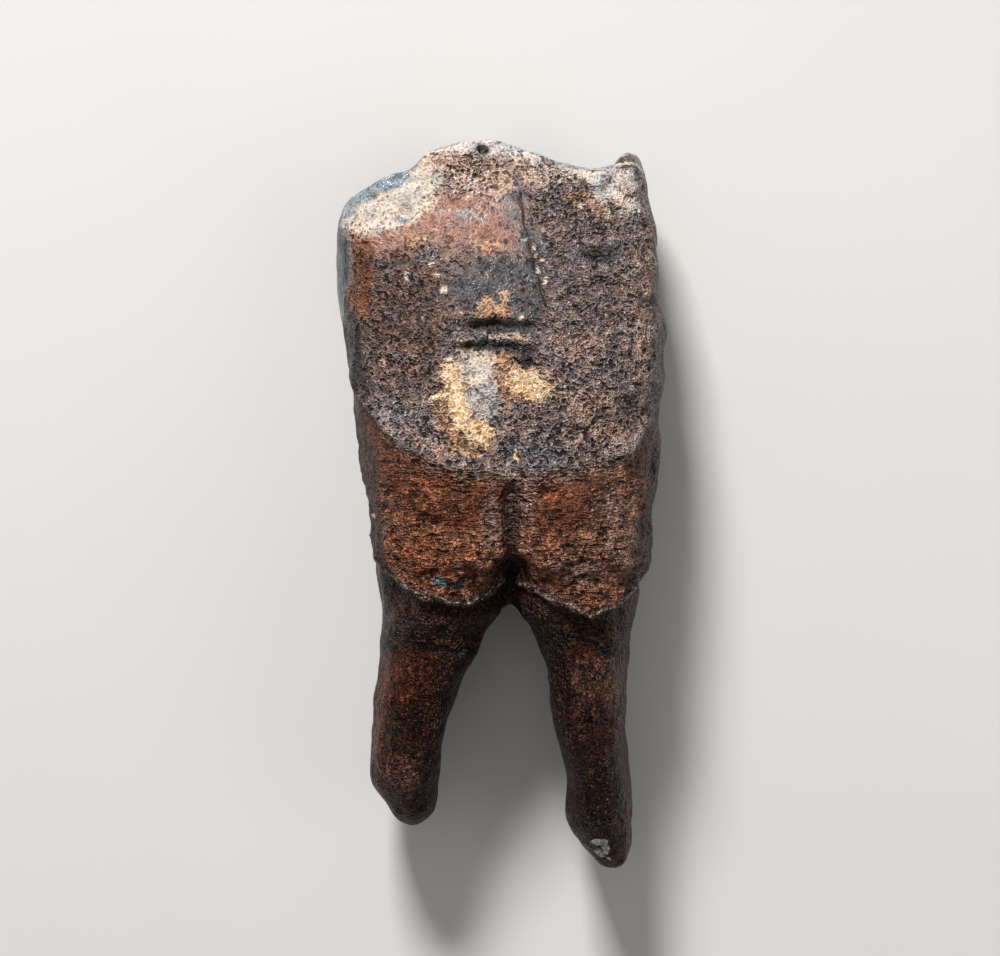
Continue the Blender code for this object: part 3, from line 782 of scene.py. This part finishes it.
@dataclass
class Tooth:
    """The tooth: its skin, its relief and the share that each stain has of it.

    Attributes:
        node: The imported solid's name.
        cell: Width of the skin's faces.
        softening: How often the skin is softened, which hides the solid's flat faces.
        worn_from: Height above which a face turned up belongs to the worn top.
        rim_width: Width of the enamel rim round the worn dentine.
        collar_height: Height of the lower edge of the collar round the roots.
        fork: X of the groove between the pads and of the fork below it.
        facet_middle: Y and Z of the contact facet's middle, on the front face.
        facet_reach: Half its height and half its depth.
        enamel_edge: Where the enamel ends at the neck.
        cement_edge: Where the thick cement coat ends, higher up.
        scarp: The scarp beside the groove, as X by height.
        worn_band: Depth below the brow to which the front lobe's enamel is bare, by X.
        dark_band: Depth of the dark band below the back lobe's brow, by X.
        valleys: Each tongue-side valley as X, Z, half width and half depth at a height of
            50 mm and at its floor, and the floor's height.
    """

    node: str = "tooth"
    cell: float = 0.39
    softening: int = 9
    worn_from: float = 30.0
    rim_width: float = 2.1
    collar_height: float = -18.1
    fork: float = 1.2
    facet_middle: tuple[float, float] = (29.5, 10.6)
    facet_reach: tuple[float, float] = (6.9, 8.2)
    enamel_edge: Edge = Edge(
        (
            (0, -7.4), (20, -9.6), (34, -12.2), (49, -13.8), (63, -12.4), (74, -10.8), (88, -9.2),
            (93, -9.3), (104, -11.0), (114, -12.6), (126, -12.0), (133, -11.2), (145, -9.7),
            (158, -7.0), (180, -3.6), (205, -7.6), (230, -12.4), (250, -11.6), (270, -8.0),
            (290, -11.8), (308, -13.0), (335, -10.4),
        ),
        (1.1, 14.6),
    )
    cement_edge: Edge = Edge(
        (
            (0, 15.5), (20, 13.0), (33, 8.5), (41, 6.0), (56, 4.7), (72, 4.0), (86, 3.2), (94, 3.6),
            (104, 4.4), (117, 4.6), (130, 6.2), (140, 8.6), (152, 12.0), (165, 15.6), (180, 18.0),
            (210, 10.0), (240, 5.0), (270, 7.5), (300, 5.0), (330, 9.5),
        ),
        (1.0, 13.9),
    )
    scarp: tuple[tuple[float, float], ...] = (
        (20.0, 6.6), (23.5, 5.6), (27.3, 4.5), (31.0, 3.6), (36.1, 2.6), (39.2, 2.1), (44.2, 0.9),
    )
    worn_band: tuple[tuple[float, float], ...] = (
        (-19.8, 1.2), (-18.5, 2.2), (-15.0, 2.3), (-12.3, 1.9), (-10.4, 1.2), (-9.4, -0.6),
    )
    dark_band: tuple[tuple[float, float], ...] = (
        (6.0, 0.35), (9.0, 0.65), (12.0, 0.8), (14.5, 1.3), (17.0, 1.6),
    )
    valleys: tuple[tuple[tuple[float, ...], tuple[float, ...], float], ...] = (
        ((-12.0, 2.6, 3.6, 8.2), (-11.0, -0.5, 1.3, 2.0), 21.0),
        ((4.5, 3.2, 4.4, 11.4), (4.8, -0.5, 1.7, 2.8), 9.0),
    )

    def build(self, frame: dict) -> bpy.types.Object:
        """Builds the dressed tooth.


        Returns:
            The tooth's object, carved, with the stains' shares in its mesh.
        """
        tooth = self._skin(frame["nodes"][self.node])
        surface = Surface.of(tooth.data)
        ground = Ground(
            surface,
            self.enamel_edge.above(surface) + 0.35 * surface.rough(1.6, 3, shift=40),
            self.cement_edge.above(surface) + 0.5 * surface.rough(2.2, 3, shift=80),
            self._from_wall(tooth.data, surface),
            self._below_brow(surface),
        )
        shares = self._patched(ground)
        self._stain_neck(ground, shares)
        self._stain_coat(ground, shares)
        self._stain_top(ground, shares)
        self._stain_facet(ground, shares)
        self._stain_seams(ground, shares)
        self._grade_relief(ground, shares)
        relief, shares["lie"] = self._relief(ground, shares)
        self._push(tooth.data, surface, relief)
        for name, values in shares.items():
            kept = tooth.data.attributes.new(name, "FLOAT", "POINT")
            kept.data.foreach_set("value", values.astype(np.float32))
        LOG.info("tooth: %d points, %d shares", len(surface.points), len(shares))
        return tooth

    def _skin(self, solid: bpy.types.Object) -> bpy.types.Object:
        """Covers a copy of the solid with small even faces.

        Args:
            solid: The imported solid.

        Returns:
            The skin's object, which isn't carved yet.
        """
        bm = bmesh.new()
        bm.from_mesh(solid.data)
        bmesh.ops.remove_doubles(bm, verts=bm.verts, dist=0.001 * MM)
        mesh = bpy.data.meshes.new("fossil_tooth")
        bm.to_mesh(mesh)
        bm.free()
        tooth = bpy.data.objects.new("fossil_tooth", mesh)
        bpy.context.scene.collection.objects.link(tooth)
        cells = tooth.modifiers.new("cells", "REMESH")
        cells.mode = "VOXEL"
        cells.voxel_size = self.cell * MM
        soften = tooth.modifiers.new("soften", "SMOOTH")
        soften.factor = 0.5
        soften.iterations = self.softening
        graph = bpy.context.evaluated_depsgraph_get()
        tooth.data = bpy.data.meshes.new_from_object(tooth.evaluated_get(graph))
        tooth.modifiers.clear()
        tooth.data.name = "fossil_tooth"
        return tooth

    def _from_wall(self, mesh: bpy.types.Mesh, surface: Surface) -> Numbers:
        """Works out how far each point of the worn top lies from the nearest upright wall.

        Args:
            mesh: The skin's mesh.
            surface: Its points.

        Returns:
            Distances in millimetres, 0 elsewhere.
        """
        steep, low = 0.35, 20 * MM
        upper = [face for face in mesh.polygons if face.center.y > low]
        walls = [face.vertices[:] for face in upper if face.normal.y < steep]
        tree = BVHTree.FromPolygons([vertex.co for vertex in mesh.vertices], walls)
        distance = np.zeros(len(surface.points))
        for i in np.flatnonzero((surface.points[:, 1] > self.worn_from) & (surface.normals[:, 1] > steep)):
            distance[i] = tree.find_nearest(mesh.vertices[i].co)[3] / MM
        return distance

    def _below_brow(self, surface: Surface) -> Numbers:
        """Works out how far each point lies below the crown's upper edge, as the cheek side shows it.

        Args:
            surface: The skin.

        Returns:
            Depths in millimetres.
        """
        x, y, _ = surface.points.T
        seen = surface.normals[:, 2] > 0.1
        places = np.arange(-21.0, 21.5, 0.5)
        brow = np.array([y[(abs(x - place) < 0.4) & seen].max(initial=30.0) for place in places])
        return np.interp(x, places, brow) - y

    def _in_valley(self, surface: Surface) -> Numbers:
        """Finds the walls of the two tongue-side valleys.

        Args:
            surface: The skin.

        Returns:
            Shares, 1 on the walls.
        """
        x, y, z = surface.points.T
        inner = np.zeros(len(x))
        for (top_x, top_z, wide, deep), (low_x, low_z, low_wide, low_deep), floor in self.valleys:
            up = np.clip((y - floor) / (50.0 - floor), 0, 1)
            away = np.hypot(
                (x - low_x - (top_x - low_x) * up) / (low_wide + (wide - low_wide) * up + 0.5),
                (z - low_z - (top_z - low_z) * up) / (low_deep + (deep - low_deep) * up + 0.5),
            )
            inner = np.maximum(inner, step(1.15, 0.95, away) * step(floor - 1.0, floor + 0.5, y))
        return inner

    def _patched(self, ground: Ground) -> dict[str, Numbers]:
        """Lays out the stains' ovals, whose outlines wander a little.

        Args:
            ground: Where each point of the skin lies.

        Returns:
            The stains' shares by name.
        """
        x, y, _ = ground.surface.points.T
        x = x + 0.5 * ground.surface.rough(2.4, 3, shift=11)
        y = y + 0.5 * ground.surface.rough(2.4, 3, shift=23)
        shares = {}
        for stain in STAINS[1:]:
            blank = np.ones(len(x))
            for patch in stain.patches:
                blank *= 1 - np.clip(patch.share(x, y), 0, 1) * ground.cheek
            peak = max([patch.strength for patch in stain.patches], default=1.0)
            shares[stain.name] = (1 - blank) * max(peak, 1.0)
        return shares

    def _stain_neck(self, ground: Ground, shares: dict[str, Numbers]) -> None:
        """Stains the roots, their collar, the enamel pads above it and the trough between those, and paints
        shade on the roots' inner sides, the pads' end faces and the fork.

        Args:
            ground: Where each point of the skin lies.
            shares: The shares by name, which it fills in.
        """
        surface, crown, cheek = ground.surface, ground.crown, ground.cheek
        x, y, z = surface.points.T
        from_collar = y - self.collar_height + (3.0 - 1.7 * cheek) * surface.rough(5.0, 3, shift=3)
        from_collar -= 0.04 * abs(x)
        shares["from_collar"] = from_collar
        shares["collar"] = step(-0.6, 0.4, from_collar) * (1 - crown)
        shares["collar_edge"] = cheek * (1 - crown)
        for name in ("root_ember", "root_frost", "root_dusk"):
            shares[name] *= (1 - crown) * step(-17.6, -19.0, y)
        # Painted shade on the sides of the roots that face the fork
        inner = np.where(x < 1.3, surface.normals[:, 0], -surface.normals[:, 0])
        shares["painted_root_shade"] = (1 - crown) * step(0.1, 0.7, inner)
        shares["enamel_pad"] = crown
        lower = ground.from_cement + 1.2 * surface.rough(3.6, 2, shift=83)
        shares["smooth_pad"] = ground.bare * step(-9.5, -5.0, lower)
        shares["orange_pad"] *= ground.bare
        upper = ground.from_cement + 0.6 * surface.rough(3.0, 2, shift=46)
        shares["pad_bloom"] += 0.55 * step(-2.4, -0.2, upper)
        shares["pad_bloom"] *= ground.bare
        # Painted shade on the pads' end faces
        shares["painted_end_shade"] = ground.bare * ground.ends
        shares["trough"] = 1.15 * cheek * ground.bare * bell(x - 1.3, 1.0) * step(4.5, 1.0, y)
        shares["beside_groove"] = x - 0.35 + 0.5 * surface.rough(3.4, 3, shift=58)
        shares["groove_line"] = cheek * crown * step(3.4, 0.6, y) * step(-9.5, -7.5, y)
        # Painted shadow in the pit at the foot of the pads' groove and under the roof of the fork
        shares["painted_pit_shadow"] = np.clip(
            1.2 * bell(np.hypot((x - self.fork) / 0.9, (y + 9.3) / 1.4), 1.0) * cheek
            + 0.9 * step(2.4, 0.8, abs(x - self.fork)) * step(-11.4, -12.6, y) * step(25.0, 20.0, z),
            0, 1,
        )

    def _stain_coat(self, ground: Ground, shares: dict[str, Numbers]) -> None:
        """Stains the cement coat: ovals on the cheek side, painted shade on the ends and on the sides that
        turn away, clouds on the rest.

        Args:
            ground: Where each point of the skin lies.
            shares: The shares by name, which it fills in.
        """
        surface, coated = ground.surface, ground.coated
        x, y, _ = surface.points.T
        shares["cement"] = coated
        for name in (
            "dark_cement_and_edge_shade", "umber_cement", "brown_cement", "manganese_and_edge_shade", "polished_cement", "mauve_cement",
            "orange_fringe",
        ):
            shares[name] *= coated
        # Painted shade: the coat's end faces are darkened below 32 mm, and the front end below 26 mm darker
        # still
        ends = coated * ground.ends
        shares["dark_cement_and_edge_shade"] += ends * step(32.0, 24.0, y)
        painted_front_shade = ends * step(26.0, 21.0, y) * step(-10.0, -14.0, x)
        shares["manganese_and_edge_shade"] = np.maximum(shares["manganese_and_edge_shade"], painted_front_shade)
        # Painted shade on the coat's sides that turn away from the cheek side, strongest at the front edge
        turned = step(0.82, 0.45, surface.normals[:, 2]) * step(-0.5, -0.1, surface.normals[:, 2])
        shares["painted_side_shade"] = coated * turned * (
            step(25.0, 20.0, y) * step(-12.0, -15.0, x) + 0.55 * step(33.0, 27.0, y) * step(12.0, 15.0, x)
        )
        hidden = (1 - ground.cheek) * coated
        for name, most, low, high, size, shift in (
            ("dark_cement_and_edge_shade", 1.0, 0.1, 0.5, 9, 51), ("brown_cement", 1.0, 0.0, 0.4, 7, 67),
            ("ochre", 0.9, 0.45, 0.7, 6, 91),
        ):
            shares[name] += most * hidden * step(low, high, surface.rough(size, 3, shift=shift))

    def _stain_top(self, ground: Ground, shares: dict[str, Numbers]) -> None:
        """Bares enamel and dentine on the worn top, and enamel along the brow.

        Args:
            ground: Where each point of the skin lies.
            shares: The shares by name, which it fills in.
        """
        surface, upright = ground.surface, ground.upright
        x, _, z = surface.points.T
        # The front lobe's wear slopes towards the cheek, where it bared glassy enamel and no dentine
        sloping = step(-9.0, -10.0, x)
        inside = step(self.rim_width - 0.3, self.rim_width + 0.3, ground.from_wall)
        level = np.maximum(step(-11.5, -9.5, x), step(15.6, 14.4, z))
        shares["worn_dentine"] = ground.top * inside * level
        band = np.interp(x, *zip(*self.worn_band))
        seen = step(-0.4, 0.0, surface.normals[:, 2]) * step(band + 0.8, band - 0.8, ground.below_brow)
        shares["blue_enamel"] = np.clip(sloping * (seen + ground.top * step(14.4, 15.6, z)), 0, 1)
        flat = step(0.3, 0.6, surface.normals[:, 1])
        shares["worn_enamel"] = ground.top * flat * (1 - shares["blue_enamel"])
        shares["below_brow"] = ground.below_brow
        shares["above_line"] = ground.below_brow - np.interp(x, *zip(*self.dark_band))
        shares["brow_band"] = upright * step(0.3, -0.2, shares["above_line"]) * step(4.0, 6.0, x)
        shares["brow_rim"] = upright
        shares["inner_rim"] = upright * step(5.0, 7.0, x)
        shares["valley"] = self._in_valley(surface) * (1 - ground.top)

    def _stain_facet(self, ground: Ground, shares: dict[str, Numbers]) -> None:
        """Bares the contact facet, where the tooth in front rubbed.

        Args:
            ground: Where each point of the skin lies.
            shares: The shares by name, which it fills in.
        """
        _, y, z = ground.surface.points.T
        (middle_y, middle_z), (high, deep) = self.facet_middle, self.facet_reach
        facet = np.hypot((y - middle_y) / high, (z - middle_z) / deep)
        facet += 0.2 * ground.surface.rough(5.5, 3, shift=29)
        on_front = step(-0.2, -0.45, ground.surface.normals[:, 0])
        shares["facet"] = on_front * step(1.1, 0.94, facet)
        shares["facet_rim"] = on_front
        shares["round_facet"] = 7.5 * (facet - 1.03)

    def _stain_seams(self, ground: Ground, shares: dict[str, Numbers]) -> None:
        """Sets the lines along the enamel's edge, with a painted highlight on its lip, the cement's edge and
        the scarp.

        Args:
            ground: Where each point of the skin lies.
            shares: The shares by name, which it fills in.
        """
        surface = ground.surface
        x, y, _ = surface.points.T
        shares["from_enamel"] = ground.from_enamel
        shares["lip_cord"] = np.ones(len(x))
        # Painted highlight along the enamel lip, fuller on the cheek side
        shares["painted_lip_highlight"] = 0.7 + 0.25 * ground.cheek
        shares["from_cement"] = ground.from_cement
        shares["cement_lip"] = ground.upright
        shares["beside_scarp"] = x - self._scarp_x(y) + 0.4 * surface.rough(2.6, 3, shift=71)
        broken = step(-0.9, -0.1, surface.rough(2.2, 2, shift=37))
        shares["scarp"] = ground.cheek * step(21.5, 24.5, y) * step(42.5, 38.0, y) * broken

    def _grade_relief(self, ground: Ground, shares: dict[str, Numbers]) -> None:
        """Says where the fine relief is ringed, fibrous, pitted or worn, and where flecks, partly painted
        glints, and pocks lie.

        Args:
            ground: Where each point of the skin lies.
            shares: The shares by name, which it fills in.
        """
        x, y, _ = ground.surface.points.T
        crown, coated, bare = ground.crown, ground.coated, ground.bare
        back_lobe = step(2.0, 5.5, x) * step(16.0, 24.0, y)
        shares["ringed"] = np.clip(0.62 * bare + 0.15 * coated * (1 + back_lobe), 0, 1)
        shares["fibrous"] = np.clip(step(-16.5, -20.0, y) + shares["facet"], 0, 1)
        shares["pitted"] = np.clip(bare * step(-3.0, -8.0, ground.from_cement) + 0.2 * coated, 0, 1)
        smooth = sum(stain.smooth * shares[stain.name] for stain in STAINS if stain.smooth)
        smooth = np.clip(smooth + 0.2 * coated * step(5.5, 1.5, x), 0, 1)
        below = ground.from_cement
        shares["bite"] = np.clip(1 - 0.75 * smooth - 0.4 * crown * step(0.0, -1.5, below), 0.1, 1)
        shares["bite"] += 0.65 * crown * step(-4.0, -9.5, below)
        shares["pocked"] = 0.65 * np.clip(
            0.8 * shares["chalk"] * step(38.5, 35.5, y) + 0.35 * shares["grey_cap"] + 0.35 * shares["ochre"]
            + 0.5 * shares["white_bloom"] + 0.6 * shares["orange_fringe"], 0, 1
        )
        beside_scarp = bell(x - self._scarp_x(y) - 0.3, 0.7) * step(25.0, 27.0, y) * step(36.0, 33.0, y)
        # Pale flecks, mineral specks and painted glints, thicker on the roots, the collar, the enamel lip and
        # beside the scarp
        shares["flecked"] = np.clip(
            0.28 + 0.7 * shares["specked_brown"] + 0.5 * shares["collar"] + 0.35 * step(-17.0, -20.0, y)
            + 0.25 * bare + 0.9 * beside_scarp * ground.cheek + 0.35 * bell(ground.from_enamel - 0.2, 0.5)
            - 0.6 * smooth, 0, 1,
        )

    def _scarp_x(self, y: Numbers) -> Numbers:
        """Place of the scarp at a height."""
        return np.interp(y, *zip(*self.scarp))

    def _relief(self, ground: Ground, shares: dict[str, Numbers]) -> tuple[Numbers, Numbers]:
        """Works out the carving that a camera close by sees.

        Args:
            ground: The skin and where each of its points lies.
            shares: What each point has of the stains and kinds of relief.

        Returns:
            How far each point moves out, and whether it lies on a crest, 1, or in a hollow, -1.
        """
        surface = ground.surface
        x, y, _ = surface.points.T
        cheek = step(0.0, 0.5, surface.normals[:, 2])
        warp = surface.rough(4.5, 3, shift=5)
        grain = surface.rough(1.5, 3, shift=2)
        fine = self._fine_relief(ground, shares, warp, grain)
        scarp = shares["beside_scarp"]
        rise = 0.45 * step(-0.1, 0.4, scarp) * step(7.0, 0.5, scarp) - 0.3 * bell(scarp, 0.35)
        rise *= cheek * step(19.0, 25.0, y) * step(42.5, 38.5, y)
        dents = -0.8 * cheek * sum(
            dent.share(x + 0.6 * warp, y + 0.3 * grain + 0.3 * warp) for dent in DENTS
        )
        lips = self._lips(ground, cheek)
        chips = -0.3 * shares["blue_enamel"] * step(0.25, 0.6, surface.rough(1.1, 2, shift=31))
        swells = 0.12 * surface.rough(4.0, 2, shift=14) * (0.3 + 0.7 * step(-16.0, -8.0, y))
        # lie later darkens the colour in the carving's hollows and dents as painted shade, and lightens it on
        # crests and lips as painted highlight
        lie = np.clip((fine + 0.5 * dents + 0.5 * lips) / 0.35, -1.5, 1.5)
        return fine + rise + dents + lips + chips + swells, lie

    def _fine_relief(
        self, ground: Ground, shares: dict[str, Numbers], warp: Numbers, grain: Numbers
    ) -> Numbers:
        """Works out the crust's grains, rings, knobs and creases, the roots' fibres and the pads' pits.

        Args:
            ground: The skin and where each of its points lies.
            shares: What each point has of the stains and kinds of relief.
            warp: Slow heights that bend the rings.
            grain: Heights of the coarse grain.

        Returns:
            How far each point moves out for them, in millimetres.
        """
        surface, bite = ground.surface, shares["bite"]
        x = surface.points[:, 0]
        rings = Surface(surface.points + np.outer(warp, (0, 1.5, 0)), surface.normals)
        crusted = step(-0.5, 1.0, ground.from_cement)
        ringed = 1 - 2.4 * abs(rings.rough(2.0, 3, Growth.RINGS, 17))
        knobs = 1 - 2.4 * abs(surface.rough(2.6, 2, shift=60))
        waves = rings.rough(4.5, 2, Growth.RINGS, 52) * (0.6 + 0.4 * step(1.5, 4.5, x))
        creases = -bell(rings.rough(2.6, 2, Growth.RINGS, 33), 0.11) * (0.2 + 0.6 * step(1.5, 4.5, x))
        creases *= step(-0.3, 0.3, surface.rough(6.0, 2, shift=44))
        fibres = shares["fibrous"] * surface.rough(0.95, 2, Growth.FIBRES, 9) * (1 - shares["facet"])
        pits = shares["pitted"] * step(0.42, 0.1, surface.grains(1.9))
        fine = (
            bite * (0.31 - 0.09 * step(1.0, -1.0, ground.from_cement)) * grain
            + bite * (0.32 * shares["ringed"] * ringed + 0.2 * crusted * knobs)
            + crusted * (0.24 * waves + 0.34 * bite * creases)
            + 0.15 * fibres - 0.1 * bite * pits
        )
        # Seen from the side the coat is worn smoother, and the outline with it
        fine *= 0.2 + 0.8 * step(0.25, 0.8, abs(surface.normals[:, 2]))
        fine *= 1 + 0.35 * step(-3.0, -7.0, ground.from_cement) * step(-0.3, 0.3, ground.from_enamel)
        fine *= 0.4 + 0.6 * step(0.2, 1.6, ground.below_brow)
        return fine

    def _lips(self, ground: Ground, cheek: Numbers) -> Numbers:
        """Works out the enamel's and the cement's lips, and the trough between the pads.

        Args:
            ground: Where each point of the skin lies.
            cheek: Share that faces the cheek.

        Returns:
            How far each point moves out for them, in millimetres.
        """
        x, y, _ = ground.surface.points.T
        above = ground.from_enamel
        lips = 0.22 * bell(above - 0.2, 0.4) - 0.28 * step(0.2, -0.5, above) * step(-3.5, -0.5, above)
        lips += 0.22 * bell(ground.from_cement - 0.1, 0.45) * cheek
        lips *= 0.35 + 0.65 * step(0.2, 0.7, abs(ground.surface.normals[:, 2]))
        trough = bell(x - self.fork, 0.8) * cheek * step(-0.3, 0.3, above) * step(4.2, 0.0, y)
        return lips - 0.35 * trough

    def _push(self, mesh: bpy.types.Mesh, surface: Surface, relief: Numbers) -> None:
        """Moves the skin out by the relief, and keeps it on the floor.

        Args:
            mesh: The skin's mesh.
            surface: Its points as they were.
            relief: How far each moves out, in millimetres.
        """
        moved = surface.points + surface.normals * relief[:, None]
        moved[:, 2] = np.maximum(moved[:, 2], 0.0)
        mesh.vertices.foreach_set("co", (moved * MM).ravel())
        mesh.update()
        mesh.shade_smooth()


@dataclass
class Studio:
    """A pale floor, soft lights and the camera straight above.

    Attributes:
        frame_width: Width of the floor that the picture shows at half the tooth's depth.
        middle: X, Y and Z of the picture's middle.
        lens: Focal length.
        sensor: Width of the camera's sensor.
        floor_size: Width of the floor.
    """

    frame_width: float = 125.0
    middle: tuple[float, float, float] = (-0.1, 3.2, 14.0)
    lens: float = 150.0
    sensor: float = 36.0
    floor_size: float = 6000.0

    def build(self) -> None:
        """Sets up the floor, lights, surroundings and camera."""
        self._floor()
        self._light("key", (-170.0, 600.0, 520.0), 180.0, 7.4)
        self._light("fill", (520.0, -120.0, 520.0), 500.0, 0.6)
        self._light("overhead", (-80.0, -60.0, 900.0), 700.0, 0.8)
        world = bpy.data.worlds.new("studio")
        world.use_nodes = True
        background = world.node_tree.nodes["Background"]
        background.inputs["Color"].default_value = linear("#F4F3F1")
        background.inputs["Strength"].default_value = 0.14
        bpy.context.scene.world = world
        bpy.context.scene.view_settings.view_transform = "Standard"
        self._camera()

    def _floor(self) -> None:
        """Lays the floor, matt card whose faint tone keeps it from looking drawn."""
        bm = bmesh.new()
        bmesh.ops.create_grid(bm, x_segments=2, y_segments=2, size=self.floor_size / 2 * MM)
        mesh = bpy.data.meshes.new("floor")
        bm.to_mesh(mesh)
        bm.free()
        floor = bpy.data.objects.new("floor", mesh)
        bpy.context.scene.collection.objects.link(floor)
        card = bpy.data.materials.new("matt_card")
        card.use_nodes = True
        tree = card.node_tree
        place = add_node(tree, "TexCoord", output="Object")
        tone = add_node(tree, "TexNoise", {"Vector": place, "Scale": 20.0, "Detail": 2.0})
        colour = add_node(
            tree, "Mix", {0: tone, 6: linear("#E3E1DD"), 7: linear("#E9E7E4")}, 2, data_type="RGBA"
        )
        tree.links.new(colour, tree.nodes["Principled BSDF"].inputs["Base Color"])
        tree.nodes["Principled BSDF"].inputs["Roughness"].default_value = 0.9
        mesh.materials.append(card)

    def _light(self, name: str, place: tuple[float, float, float], size: float, power: float) -> None:
        """Hangs a square soft light that faces the tooth.

        Args:
            name: Its name.
            place: Where it hangs.
            size: Width of its side.
            power: Power in watts.
        """
        lamp = bpy.data.lights.new(name, "AREA")
        lamp.shape = "SQUARE"
        lamp.size = size * MM
        lamp.energy = power
        light = bpy.data.objects.new(name, lamp)
        light.location = Vector(place) * MM
        towards = Vector(self.middle) * MM - light.location
        light.rotation_euler = towards.to_track_quat("-Z", "Y").to_euler()
        bpy.context.scene.collection.objects.link(light)

    def _camera(self) -> None:
        """Sets the camera over the tooth, looking straight down with the chewing surface at the top."""
        lens = bpy.data.cameras.new("camera")
        lens.lens = self.lens
        lens.sensor_width = self.sensor
        lens.clip_start = 0.01
        lens.clip_end = 20.0
        camera = bpy.data.objects.new("camera", lens)
        away = self.frame_width * self.lens / self.sensor
        camera.location = (Vector(self.middle) + Vector((0, 0, away))) * MM
        bpy.context.scene.collection.objects.link(camera)
        bpy.context.scene.camera = camera


def main() -> None:
    """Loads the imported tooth, dresses it and sets up the studio."""
    logging.basicConfig(level=logging.INFO, format="%(name)s: %(message)s")
    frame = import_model()
    tooth = Tooth().build(frame)
    tooth.data.materials.clear()
    tooth.data.materials.append(FossilFinish().make("stained_fossil_tooth", STAINS))
    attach(tooth, "root")
    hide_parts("tooth")
    LOG.info("tooth dressed")
    Studio().build()
    LOG.info("studio ready")


if __name__ == "__main__":
    main()
